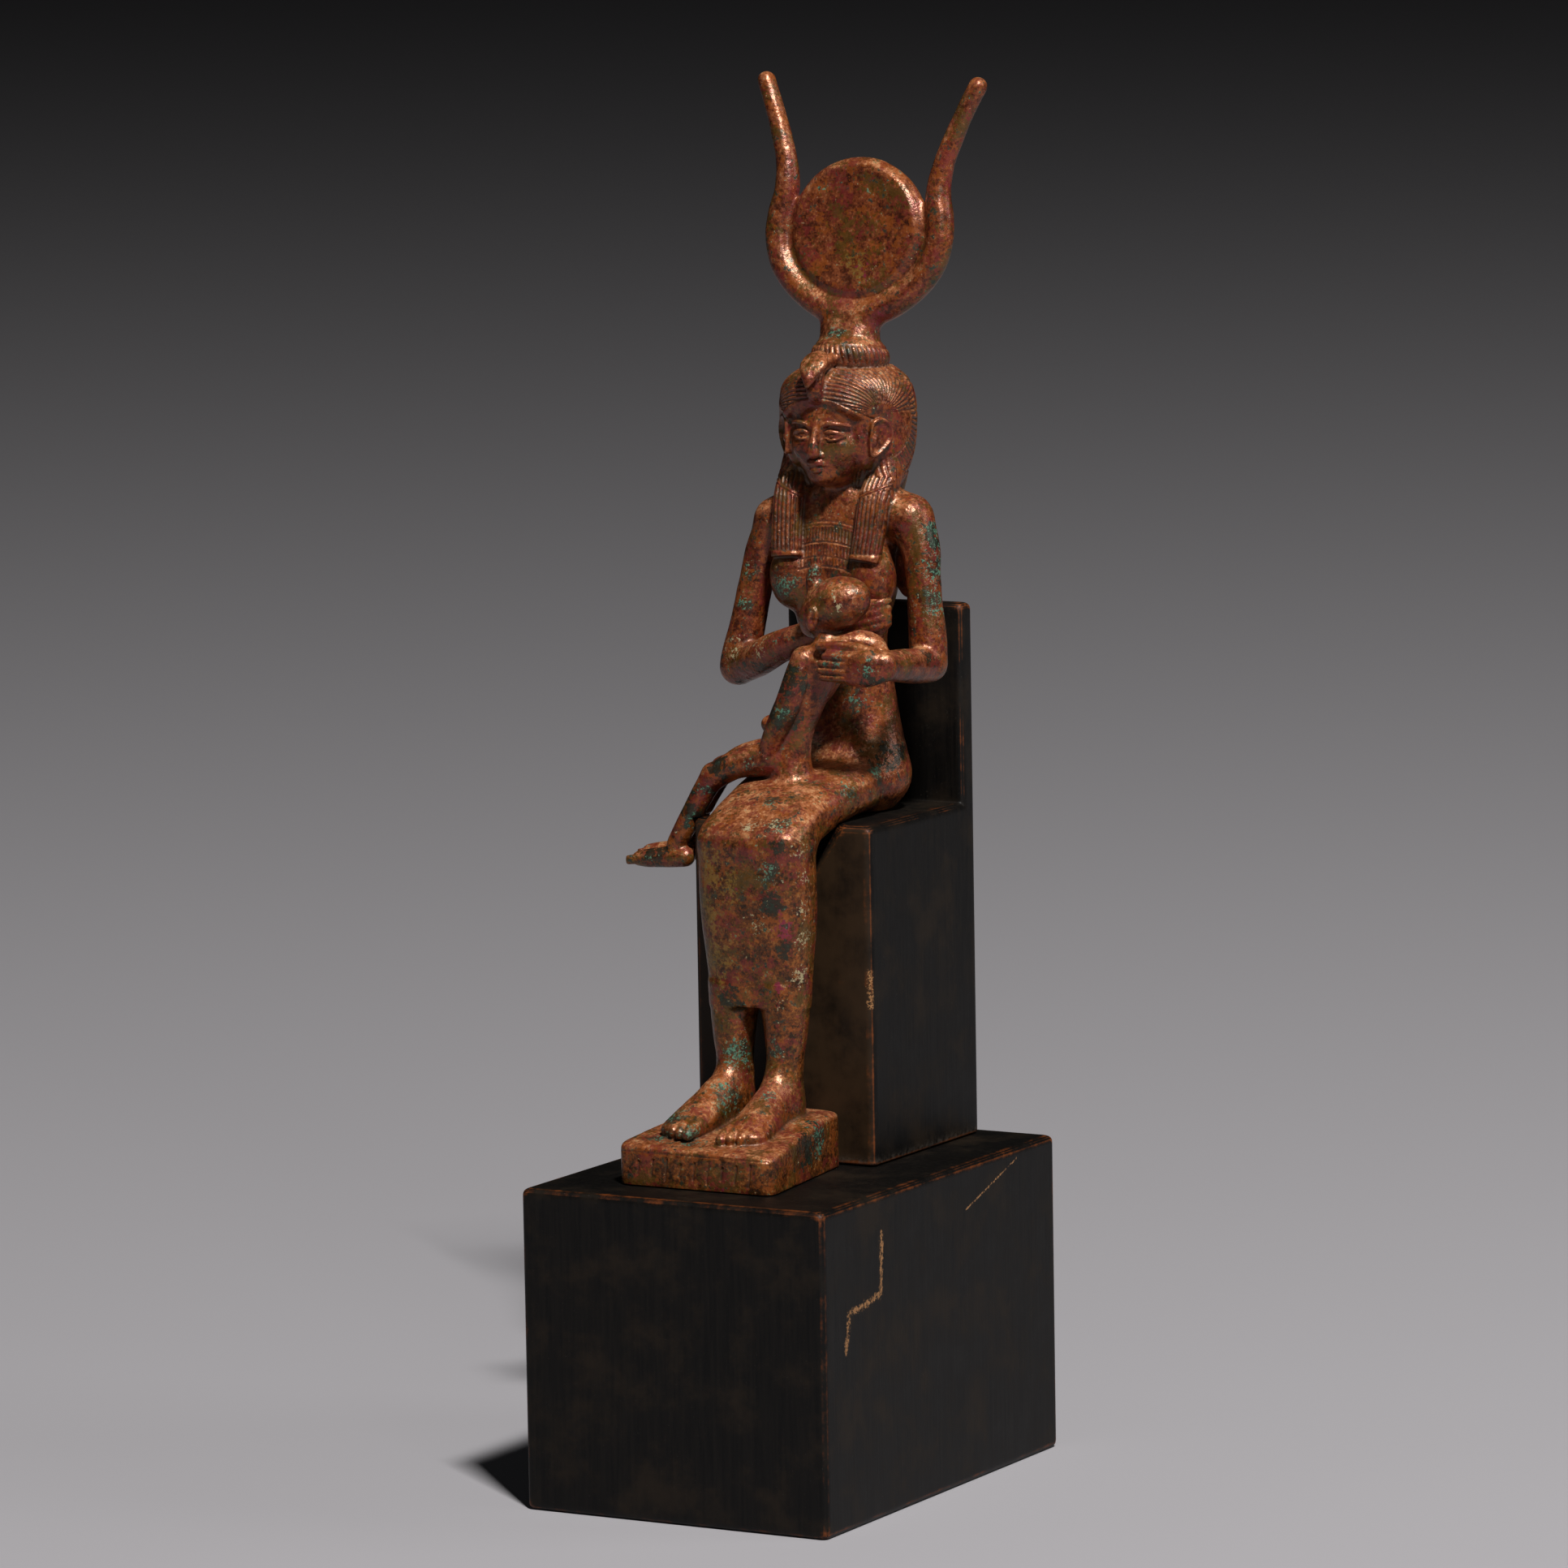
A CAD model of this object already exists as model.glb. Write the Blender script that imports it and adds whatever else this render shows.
import math

import bpy
import numpy as np
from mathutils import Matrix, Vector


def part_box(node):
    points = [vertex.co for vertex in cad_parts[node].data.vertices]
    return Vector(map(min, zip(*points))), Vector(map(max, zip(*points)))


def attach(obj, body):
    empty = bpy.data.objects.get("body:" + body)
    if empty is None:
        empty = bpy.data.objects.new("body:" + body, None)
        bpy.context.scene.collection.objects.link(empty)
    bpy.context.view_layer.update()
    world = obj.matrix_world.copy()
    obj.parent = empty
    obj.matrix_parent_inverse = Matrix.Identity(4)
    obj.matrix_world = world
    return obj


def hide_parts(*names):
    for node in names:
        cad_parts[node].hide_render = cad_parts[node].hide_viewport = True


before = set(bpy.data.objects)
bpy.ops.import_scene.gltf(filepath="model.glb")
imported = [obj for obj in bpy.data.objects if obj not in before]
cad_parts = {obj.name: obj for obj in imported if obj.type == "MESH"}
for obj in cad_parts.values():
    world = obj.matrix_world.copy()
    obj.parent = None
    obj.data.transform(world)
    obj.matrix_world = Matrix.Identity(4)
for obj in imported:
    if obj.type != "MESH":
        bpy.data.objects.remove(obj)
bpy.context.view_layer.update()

import openvdb as vdb
from mathutils import Matrix, Vector

# The object is modelled in millimetres and goes into the scene in metres
MM = 0.001
BRONZE_LOW, BRONZE_HIGH = (np.array(corner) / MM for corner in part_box("bronze_figure"))
THRONE_LOW, THRONE_HIGH = (np.array(corner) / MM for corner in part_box("wooden_throne"))
BASE_LOW, BASE_HIGH = (np.array(corner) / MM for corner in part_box("wooden_base"))

# Voxel sizes, in millimetres: the casting, and the wooden throne and base
BRONZE_VOXEL = 0.28
WOOD_VOXEL = 0.5
# Each grid holds true distances this many millimetres round a surface, so no two surfaces melt over more
REACH = 3.5
BRONZE_TRIANGLES = 192000
WOOD_TRIANGLES = 110000

# How far edges are rounded, in millimetres: the wood's own, and where the bronze rests on the throne
WOOD_EDGE = 2
REST_EDGE = 0.6

# Throne and plinth sizes, in millimetres, as on the solids
REST_GAP = 0.3
SEAT_TOP = 181.8
THRONE_BACK_THICKNESS = 6.6
HOLLOW_TOP_WIDTH = 37
HOLLOW_FLOOR_WIDTH = 20
HOLLOW_DEPTH = 13
HOLLOW_RUN = 12
THRONE_CENTRE_X = (THRONE_LOW[0] + THRONE_HIGH[0]) / 2
THRONE_FRONT_Y = THRONE_LOW[1]
THRONE_BACK_Y = THRONE_HIGH[1] - THRONE_BACK_THICKNESS
PLINTH_WIDTH = 48.4
PLINTH_REAR_WIDTH = 36
PLINTH_DEPTH = 50.6
PLINTH_HEIGHT = 10.5
PLINTH_RISE = 4.8
PLINTH_FALL = 1.2

# The body's rows are x to the figure's left, y to its rear, z up from the plinth's front top edge.
# From the seat up it tips to the figure's left, and the tipping is whole after the lean's run.
BODY_X = THRONE_CENTRE_X
BODY_Y = THRONE_FRONT_Y + 0.8
BODY_Z = BRONZE_LOW[2] + PLINTH_HEIGHT
DRAWN_SEAT = 82.9
LEAN = 0.0175
LEAN_RUN = 60

X, Y, Z = np.eye(3)
RANDOM_SEED = 7


def placed(points):
    """The body's drawn points in the object's own millimetres."""
    x, y, z = np.moveaxis(np.asarray(points, float), -1, 0)
    rise = np.maximum(0, z - DRAWN_SEAT)
    tip = LEAN * np.minimum(1, rise / LEAN_RUN)
    return np.stack([BODY_X + x + rise * LEAN, BODY_Y + y, BODY_Z + z - x * tip], -1)


def drawn(points):
    """The other way: the object's points in the body's drawing."""
    x, y, z = np.moveaxis(np.asarray(points, float), -1, 0)
    flat_z = z - BODY_Z
    drawn_x, drawn_z = x - BODY_X, flat_z
    for _ in range(3):
        rise = np.maximum(0, drawn_z - DRAWN_SEAT)
        drawn_x = x - BODY_X - rise * LEAN
        drawn_z = flat_z + drawn_x * LEAN * np.minimum(1, rise / LEAN_RUN)
    return np.stack([drawn_x, y - BODY_Y, drawn_z], -1)


def smoothstep(low, high, value):
    """0 below low, 1 above high and smooth between them."""
    t = np.clip((value - low) / (high - low), 0, 1)
    return t * t * (3 - 2 * t)


def noise(points, scale, seed):
    """Smooth seeded noise from -1 to 1, with features of about scale millimetres."""
    size = 64
    lattice = np.random.default_rng(RANDOM_SEED + seed).uniform(-1, 1, (size, size, size)).astype(np.float32)
    place = points / scale
    cell = np.floor(place).astype(int)
    t = place - cell
    t = t * t * (3 - 2 * t)
    total = np.zeros(len(points))
    for corner in np.ndindex(2, 2, 2):
        weight = np.prod(np.where(corner, t, 1 - t), axis=1)
        i, j, k = ((cell + corner) % size).T
        total += weight * lattice[i, j, k]
    return total


# Closed shapes: each is a list of rings of points, all with the same number of sides

def smooth_rows(rows, steps):
    """A smooth run through every row, by Catmull-Rom on each column."""
    rows = np.array(rows, float)
    last = len(rows) - 1
    place = np.linspace(0, last, steps + 1)
    i = np.minimum(place.astype(int), last - 1)
    t = (place - i)[:, None]
    here, ahead = rows[i], rows[i + 1]
    start = (ahead - rows[np.maximum(i - 1, 0)]) / 2
    end = (rows[np.minimum(i + 2, last)] - here) / 2
    rise = ahead - here
    return here + t * start + t * t * (3 * rise - 2 * start - end) + t ** 3 * (start + end - 2 * rise)


def oval(centre, across, along, wide, deep, square=2.0, sides=32):
    """An oval of a given squareness: 2 is an ellipse, more is nearer to a rectangle."""
    turn = np.arange(sides) / sides * 2 * math.pi
    u, v = (np.sign(wave) * np.abs(wave) ** (2 / square) for wave in (np.cos(turn), np.sin(turn)))
    return np.asarray(centre) + u[:, None] * across * wide + v[:, None] * along * deep


def limb(rows, side=Y, sides=24, square=2.0, ends=(True, True), density=5):
    """A limb through rows of x, y, z, half width and half thickness; the width lies along side."""
    run = smooth_rows(rows, density * (len(rows) - 1))
    centres = run[:, :3]
    ahead = np.gradient(centres, axis=0)
    ahead /= np.linalg.norm(ahead, axis=1)[:, None]
    along = np.cross(ahead, side)
    along /= np.linalg.norm(along, axis=1)[:, None]
    across = np.cross(along, ahead)

    def ring(i, reach=0.0, waist=1.0):
        wide, deep = run[i, 3:5]
        centre = centres[i] + ahead[i] * reach * min(wide, deep)
        return oval(centre, across[i], along[i], wide * waist, deep * waist, square, sides)

    turns = np.radians([18, 36, 54, 70, 82])
    first = [ring(0, -math.sin(turn), math.cos(turn)) for turn in turns[::-1]] if ends[0] else []
    last = [ring(-1, math.sin(turn), math.cos(turn)) for turn in turns] if ends[1] else []
    return [*first, *(ring(i) for i in range(len(run))), *last]


def upright(rows, sides=48, density=6):
    """An upright body: rows of x, y, z, half width, half depth and squareness, each section level."""
    run = smooth_rows(rows, density * (len(rows) - 1))
    return [oval(row[:3], X, Y, row[3], row[4], row[5], sides) for row in run]


def lump(centre, radii, turns=(0, 0, 0), sides=24, levels=16):
    """A rounded lump: an ellipsoid, tipped by turns about X, Y and Z."""
    turn = np.array(Matrix.Rotation(turns[0], 3, "X") @ Matrix.Rotation(turns[1], 3, "Y")
                    @ Matrix.Rotation(turns[2], 3, "Z"))
    rings = []
    for tilt in (np.arange(levels) + 0.5) / levels * math.pi - math.pi / 2:
        ring = oval(Z * radii[2] * math.sin(tilt), X, Y,
                    radii[0] * math.cos(tilt), radii[1] * math.cos(tilt), 2.0, sides)
        rings.append(ring @ turn.T + np.array(centre))
    return rings


def shifted(rows, shift):
    """The rows, moved by a shift in x, y and z."""
    return [[*(np.array(row[:3]) + shift), *row[3:]] for row in rows]


def on_side(rows, side, shift=(0, 0, 0)):
    """The rows as they are on the figure's left, 1, and mirrored and shifted on its right, -1."""
    return rows if side > 0 else shifted([[-row[0], *row[1:]] for row in rows], shift)


class Casting:
    """A grid of distances to a surface, in millimetres, that closed shapes are melted into."""

    def __init__(self, low, high, voxel):
        self.voxel = voxel
        self.start = np.floor(low / voxel).astype(int) - 2
        size = np.ceil(high / voxel).astype(int) + 3 - self.start
        self.band = math.ceil(REACH / voxel)
        self.field = np.full(size, self.band * voxel, np.float32)
        self.labels = np.zeros(size, np.uint8)

    def block(self, low, high):
        """The slices of the grid that hold low to high, and the first voxel's place."""
        first = np.maximum(np.floor(low / self.voxel).astype(int), self.start)
        last = np.minimum(np.ceil(high / self.voxel).astype(int), self.start + self.field.shape - 1)
        where = tuple(slice(a, b + 1) for a, b in zip(first - self.start, last - self.start))
        return where, first

    def axes(self, where):
        """The x, y and z of a block's voxels, in millimetres, each along its own axis."""
        steps = [(np.arange(part.start, part.stop) + start) * self.voxel
                 for part, start in zip(where, self.start)]
        return np.meshgrid(*steps, indexing="ij", sparse=True)

    def places(self, where):
        """The place of every voxel in a block, in millimetres."""
        return np.stack(np.broadcast_arrays(*self.axes(where)), -1)

    def distances(self, rings):
        """The distances to one closed shape, over the block of voxels round it."""
        points = np.concatenate(rings)
        sides, count = len(rings[0]), len(rings)
        start = np.arange(count - 1)[:, None] * sides
        side = np.arange(sides)[None, :]
        ahead = (side + 1) % sides
        quads = np.stack([start + side, start + ahead, start + sides + ahead, start + sides + side], -1)
        caps = []
        for level, middle in ((0, len(points)), (count - 1, len(points) + 1)):
            ring = level * sides + np.arange(sides)
            caps.append(np.stack([np.full(sides, middle), ring, np.roll(ring, -1)], -1))
        points = np.vstack([points, rings[0].mean(axis=0), rings[-1].mean(axis=0)])
        grid = vdb.FloatGrid.createLevelSetFromPolygons(
            points.astype(np.float32), triangles=np.concatenate(caps).astype(np.uint32),
            quads=quads.reshape(-1, 4).astype(np.uint32),
            transform=vdb.createLinearTransform(voxelSize=self.voxel), halfWidth=self.band)
        reach = self.band * self.voxel
        where, first = self.block(points.min(axis=0) - reach, points.max(axis=0) + reach)
        found = np.empty(self.field[where].shape, np.float32)
        grid.copyToArray(found, ijk=tuple(int(v) for v in first))
        return found, where

    def add(self, rings, blend=0.8, label=0):
        """Melts a body's shape in. blend is how far, in millimetres, the two surfaces flow together."""
        found, where = self.distances([placed(ring) for ring in rings])
        self.melt(found, where, blend, label)

    def melt(self, found, where, blend, label):
        """Joins a shape's distances to the surface, flowing together over blend millimetres."""
        here = self.field[where]
        self.labels[where] = np.where(found < here, label, self.labels[where])
        share = np.clip(0.5 + 0.5 * (here - found) / blend, 0, 1)
        self.field[where] = here + (found - here) * share - blend * share * (1 - share)

    def cut(self, rings, blend=0.5):
        """Cuts a body's shape out."""
        found, where = self.distances([placed(ring) for ring in rings])
        self.carve(found, where, blend)

    def carve(self, found, where, blend):
        """Takes a shape's distances away, with the edge rounded over blend millimetres."""
        here = self.field[where]
        share = np.clip(0.5 - 0.5 * (here + found) / blend, 0, 1)
        self.field[where] = here + (-found - here) * share + blend * share * (1 - share)

    def label_at(self, points):
        """The label of the part that each point lies on."""
        place = np.round(points / self.voxel).astype(int) - self.start
        place = np.clip(place, 0, np.array(self.labels.shape) - 1)
        return self.labels[place[:, 0], place[:, 1], place[:, 2]]

    def surface(self):
        """The points and four-sided faces of the surface."""
        grid = vdb.FloatGrid(self.band * self.voxel)
        grid.transform = vdb.createLinearTransform(voxelSize=self.voxel)
        grid.copyFromArray(self.field, ijk=tuple(int(v) for v in self.start), tolerance=self.voxel * 0.1)
        points, quads = grid.convertToQuads(isovalue=0)
        return np.array(points, float), np.array(quads)


# What each part of the casting is called, so that carving and colour can follow it
LABELS = {name: i for i, name in enumerate(
    ("skin", "dress", "wig", "lappet", "ring", "crown", "cobra", "child", "plinth"))}
FINGERS = 4


def add_legs(casting):
    """The close dress over the shins, the lap, the shins and the feet with their toes."""
    label = LABELS["dress"]
    casting.add(upright([
        [0, -13.4, 34.6, 14.4, 7.2, 2.3],
        [0, -13.3, 44, 15.2, 8, 2.6],
        [0, -13.5, 58, 16.2, 9.2, 3],
        [0, -14, 70, 16.3, 9.4, 3.1],
        [0, -14, 78.8, 16, 8.9, 3.1],
        [0, -13.4, 83, 14.2, 7.2, 3],
    ]), label=label)
    casting.add(limb([
        [0, -18.6, 79.2, 15, 5],
        [0, -12, 81.6, 16.3, 6.9],
        [0, -2, 85.2, 16.6, 7.4],
        [0, 9, 88.2, 18, 7.1],
        [0, 21, 90, 18.8, 7.4],
        [0, 31, 90.4, 16.6, 7],
    ], X, sides=48, square=3), blend=3.4, label=label)
    casting.add(lump([0, 33.4, 92.4], [20.2, 13.8, 12], sides=48, levels=24), blend=3.4, label=label)
    shin = [
        [7.6, -13.6, 40, 6.8, 6.8],
        [8, -13.8, 33, 6.5, 6.8],
        [8, -14, 26, 5.6, 6.5],
        [7.8, -14.3, 19.5, 4.8, 6.2],
        [7.6, -15.2, 13, 5, 6.8],
        [7.5, -15.8, 6.5, 5.3, 7.2],
        [7.5, -15.6, 2, 5, 6.8],
    ]
    instep = [
        [7.6, -9.6, 5.8, 3.2, 3],
        [7.6, -14, 7.8, 4.8, 6],
        [7.7, -20, 8, 5.1, 7],
        [8, -26.4, 6, 5.7, 6.2],
        [8.5, -33, 4.2, 6.2, 4.9],
        [8.9, -38, 3, 6.3, 3.6],
        [9, -40.6, 2.4, 6.1, 2.7],
    ]
    toes = [
        ([4.9, -36, 4.8], [4.6, -41, 3.4], [4.6, -44.4, 2.2], 1.7),
        ([7.5, -36.4, 5], [7.3, -40.8, 3.6], [7.2, -44.2, 2.3], 1.35),
        ([9.8, -36, 4.9], [9.8, -40, 3.5], [9.8, -43, 2.3], 1.3),
        ([12, -35, 4.6], [12.1, -38.8, 3.3], [12.2, -41.6, 2.3], 1.2),
        ([13.9, -33.8, 4], [14.2, -37, 3], [14.3, -39.6, 2.2], 1.15),
    ]
    right_foot_shift = (-0.6, -1, 1)
    for side in (1, -1):
        casting.add(limb(on_side(shin, side), X, ends=(False, False)), blend=2.2)
        casting.add(limb(on_side(instep, side, right_foot_shift), X), blend=3)
        for first, middle, tip, radius in toes:
            rows = [[*first, radius, 2], [*middle, radius, 1.9], [*tip, radius * 0.92, 1.6]]
            casting.add(limb(on_side(rows, side, right_foot_shift), X, sides=16), blend=0.45)


def add_trunk(casting):
    """Trunk, shoulders and breasts, and the metal left between each arm and the chest."""
    casting.add(upright([
        [0, 31.4, 82.9, 15, 10, 2.4],
        [0, 32.5, 89.5, 19, 13.6, 2.2],
        [0, 34.4, 97.5, 19, 12.2, 2],
        [0, 35.2, 107.5, 16.6, 10.6, 2],
        [0, 35.4, 117.5, 14.5, 10.1, 2.1],
        [0, 35, 128, 12.4, 10, 2.1],
        [0, 34.6, 136, 13.4, 11, 2.2],
        [0, 35.3, 144.5, 15.4, 11.4, 2.3],
        [0, 36, 153, 16, 11.4, 2.3],
        [0, 36.4, 161, 17.5, 10.4, 2.2],
        [0, 36.4, 168, 12, 8.4, 2.1],
        [0, 35.8, 173, 7.8, 7.8, 2],
        [0, 35, 178, 7.4, 7.6, 2],
    ]), blend=3.4)
    casting.add(limb([
        [-20.8, 34.8, 161.2, 6.3, 6.5],
        [-11, 36.2, 164.6, 8, 7.6],
        [0, 36.6, 166, 8.4, 8],
        [11, 36.2, 165.2, 8, 7.6],
        [20.6, 34.8, 163.4, 6.6, 6.8],
    ]), blend=2.5)
    for side in (-1, 1):
        casting.add(lump([side * 12.2, 28.8, 147], [6.9, 6.2, 9.6]), blend=2.2)
        casting.add(lump([side * 19, 37.4, 151], [4.6, 3, 9.6]), blend=0.9)


def add_arms(casting):
    """Both arms, the hand under the child's head and the hand at the breast."""
    left_arm = [
        [20.8, 34.8, 163.4, 6.2, 6.4],
        [24.6, 33.6, 156, 5.3, 5.5],
        [26.2, 32.3, 148, 4.7, 4.9],
        [27.6, 31.2, 139, 4.8, 5],
        [28.8, 30.4, 130, 5.1, 5.3],
        [29.2, 29.6, 125, 4.9, 5.1],
    ]
    left_forearm = [
        [29.2, 30.2, 124.2, 4.8, 4.9],
        [29.6, 20, 125, 4.7, 4.8],
        [30.2, 10, 126.2, 4.3, 4.4],
        [30, 2.4, 127, 3.4, 4],
    ]
    right_arm = [
        [-20.8, 34.8, 160.4, 6, 6.2],
        [-24.4, 33.6, 152.2, 5.2, 5.3],
        [-26.2, 32.2, 143.6, 4.7, 4.8],
        [-27.8, 30.8, 133, 4.9, 5],
        [-29.8, 30, 124.2, 5.2, 5.3],
        [-30.4, 29.6, 120.8, 4.9, 5],
    ]
    right_forearm = [
        [-30.2, 29.6, 120.6, 4.9, 5],
        [-21.4, 25, 123.8, 4.8, 5],
        [-12.5, 21, 127.8, 4.3, 4.6],
        [-4, 19, 131, 3.8, 4.2],
        [3, 18.8, 133.6, 3, 3.8],
    ]
    for rows, side in ((left_arm, Y), (left_forearm, X), (right_arm, Y), (right_forearm, Y)):
        casting.add(limb(rows, side), blend=1.6)
    casting.add(limb([
        [31.4, 1.8, 127, 3.9, 2.9],
        [27, -0.4, 126.2, 4.9, 2.8],
        [23, -1.1, 126.1, 4.8, 2.2],
        [19.6, -1, 126.3, 4.5, 1.6],
        [14.4, -0.5, 126.7, 4.5, 1.3],
    ], Z, square=2.6), blend=1.6)
    for finger in range(FINGERS):
        z = 129.2 - 1.98 * finger
        reach = (14, 12.7, 12.6, 13.4)[finger]
        casting.add(limb([
            [23.4, -1.9, z, 1, 1.1],
            [18.6, -1.9, z, 1.05, 1.25],
            [reach, -1, z - 0.1, 0.95, 1.15],
        ], Z, sides=16), blend=0.2)
    casting.add(limb([
        [28.5, 1, 130.4, 1.8, 1.6],
        [20, 0.4, 131.9, 1.6, 1.5],
        [11.4, 0.6, 131.5, 1.3, 1.2],
    ], sides=16), blend=0.6)
    casting.add(limb([
        [0.6, 18.8, 133, 3.8, 2.4],
        [6, 19.4, 135.2, 4.5, 2.4],
        [10.6, 20.2, 136.8, 4.5, 2],
        [13, 21, 137.2, 4.1, 1.6],
    ], Z), blend=1.4)
    casting.add(lump([16.6, 22, 137.4], [5, 2.2, 5.2], [0, 0, 0.3]), blend=1.4)
    for finger in range(FINGERS):
        z = 141.8 - 2.1 * finger
        casting.add(limb([
            [13.6 - 0.8 * finger, 19.6, z - 2.2, 1, 0.9],
            [16.6, 20, z - 1, 1.15, 0.9],
            [19.2, 21.4, z, 1.1, 0.8],
            [20.6, 23.4, z + 0.4, 0.9, 0.7],
        ], Z, sides=16), blend=0.45)


# The face is a calm one on plain canon proportions, in the wig's opening
FACE_TOP = 196
CHIN_Z = 173
FACE_HEIGHT = FACE_TOP - CHIN_Z
FACE_FRONT_Y = 18.4
FACE_HALF_WIDTH = 10.4
EYE_Z = CHIN_Z + FACE_HEIGHT * 0.61


def in_face(x, depth, height):
    """A point to the side, behind the face's front, and above the chin as a share of the face's height."""
    return [x, FACE_FRONT_Y + depth, CHIN_Z + FACE_HEIGHT * height]


def face_limb(rows, side=1, across=Y, sides=12):
    """A limb over the face, through rows of x, depth, height, half width and half thickness."""
    return limb([[*in_face(side * x, depth, height), wide, thick] for x, depth, height, wide, thick in rows],
                across, sides)


def add_face(casting):
    """The face's broad masses, the nose, the eyes with their lids and brows, and the lips."""
    casting.add(lump(in_face(0, 12.9, 0.55), [13.2, 8.4, 10.8]), blend=0.5)
    casting.add(lump(in_face(0, 12.5, 0.56), [FACE_HALF_WIDTH, 12.4, FACE_HEIGHT * 0.56]), blend=2.4)
    casting.add(lump(in_face(0, 10.4, 0.78), [10.6, 9.5, 7.6]), blend=2)
    casting.add(lump(in_face(0, 9.8, 0.35), [8.5, 8.6, 8]), blend=3)
    casting.add(lump(in_face(0, 4.4, 0.12), [3.7, 3.6, 2.9]), blend=2.4)
    for side in (-1, 1):
        casting.add(lump(in_face(side * 5.5, 4.8, 0.46), [3.4, 3, 3.2]), blend=2.6)
        casting.cut(lump(in_face(side * 4.8, -0.4, 0.615), [3.7, 2, 1.9], [0, 0, side * 0.3]), blend=1.6)
    nose = [
        [0, 1.6, 0.73, 1.5, 1.3],
        [0, 0.6, 0.63, 1.1, 1.4],
        [0, -0.4, 0.5, 1.3, 1.5],
        [0, -1, 0.4, 1.7, 1.4],
    ]
    brow = [
        [1.7, 0.9, 0.7, 0.5, 0.5],
        [4.4, 0.4, 0.75, 0.62, 0.62],
        [7, 1.7, 0.745, 0.55, 0.55],
        [9, 4, 0.715, 0.4, 0.4],
    ]
    upper_lip = [
        [-3.4, 2.3, 0.243, 0.4, 0.5],
        [-1.4, 0.4, 0.275, 0.9, 1.1],
        [0, 0.1, 0.268, 0.85, 1.05],
        [1.4, 0.4, 0.275, 0.9, 1.1],
        [3.4, 2.3, 0.243, 0.4, 0.5],
    ]
    lower_lip = [
        [-2.8, 2.2, 0.213, 0.45, 0.5],
        [0, 0.5, 0.188, 1, 1.15],
        [2.8, 2.2, 0.213, 0.45, 0.5],
    ]
    casting.add(face_limb(nose, across=X, sides=24), blend=0.9)
    casting.add(lump(in_face(0, -0.7, 0.385), [1.6, 1.5, 1.3]), blend=0.7)
    for side in (-1, 1):
        casting.add(lump(in_face(side * 1.9, 1, 0.37), [1, 1.4, 0.95]), blend=0.5)
        casting.cut(lump(in_face(side * 0.95, 0.1, 0.33), [0.5, 0.8, 0.5], sides=12, levels=8), blend=0.3)
        casting.add(lump(in_face(side * 4.8, 3.2, 0.6), [3, 2.3, 1.2], [0, 0, side * 0.3]), blend=0.3)
        for lift, radius in ((1.2, 0.48), (-1.1, 0.34)):
            lid = [
                [1.9, 1.9, 0.6 - 0.012, radius * 0.7, radius * 0.7],
                [3.4, 0.9, 0.6 + lift * 0.85 / FACE_HEIGHT, radius, radius],
                [5, 0.9, 0.6 + lift / FACE_HEIGHT, radius, radius],
                [6.6, 1.7, 0.6 + lift * 0.7 / FACE_HEIGHT, radius, radius],
                [8, 2.9, 0.6, radius * 0.8, radius * 0.8],
            ]
            casting.add(face_limb(lid, side), blend=0.35)
        casting.add(face_limb(brow, side), blend=0.7)
    for lip in (upper_lip, lower_lip):
        casting.add(face_limb(lip, sides=16), blend=0.35)


# Each ear's middle, and how far it turns outward. The one on the figure's right lies closer to the head.
EAR = np.array([15, 27.8, EYE_Z - 0.8])
EAR_TURN = math.radians(58)
FAR_EAR = np.array([-12.7, 25.7, EYE_Z - 0.8])
FAR_EAR_TURN = math.radians(45)
EAR_OUTLINE = [(-3.2, 1.5), (-2.6, 4.2), (-0.2, 5.4), (2.4, 4.4), (3.8, 2), (3.3, -0.8),
               (0.8, -3.6), (-2, -5.3), (-3.2, -4.4), (-3.5, -1.5), (-3.2, 1.5)]
EAR_STEPS = 40
# The dish's sections, from the root out: the outline's share and how far out it stands
EAR_SECTIONS = [(0.9, -2.6), (1, -1), (1.02, 0.3), (1, 0.75), (0.93, 0.95), (0.85, 0.8), (0.76, 0.3),
                (0.55, 0.1), (0.2, 0.15)]


def add_ears(casting):
    """Each ear is a leaf-shaped dish inside a raised rim, and the far one stands in a hollow of the wig."""
    outline = smooth_rows(EAR_OUTLINE, EAR_STEPS)[:-1]
    for side, place, turn in ((-1, FAR_EAR, FAR_EAR_TURN), (1, EAR, EAR_TURN)):
        casting.add(lump([side * 10.4, 28, place[2] - 1], [3.2, 4.4, 8]), blend=1.6)
        along = np.array([side * math.cos(turn), math.sin(turn), 0])
        outward = np.array([side * math.sin(turn), -math.cos(turn), 0])
        middle = place + outward * 0.5
        if side < 0:
            casting.cut(lump(middle + outward * 2.4, [3.6, 3.6, 6.6]), blend=1.6)
        rings = [middle + outward * out + (outline[:, :1] * along + outline[:, 1:] * Z) * part
                 for part, out in EAR_SECTIONS]
        casting.add([ring[::side] for ring in rings], blend=0.4)
        casting.add(lump(middle + outward * 0.2 - along * 2 - Z * 0.8, [0.9, 1, 1.4]), blend=0.8)


# How the wig's sides slope back behind the ears, up to the height where the brow band crosses
WIG_TURN = math.radians(50)
WIG_TEMPLE_Z = 188.5
# The left lappet's rows, from under the ear down to its cut end
LAPPET = [
    [13.6, 31.2, 173.6, 4.3, 3.4],
    [13.2, 28.2, 168.6, 4.4, 3.5],
    [12.8, 26.2, 160, 4.4, 3],
    [12.1, 24.6, 152.4, 4.5, 2.8],
]


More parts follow.
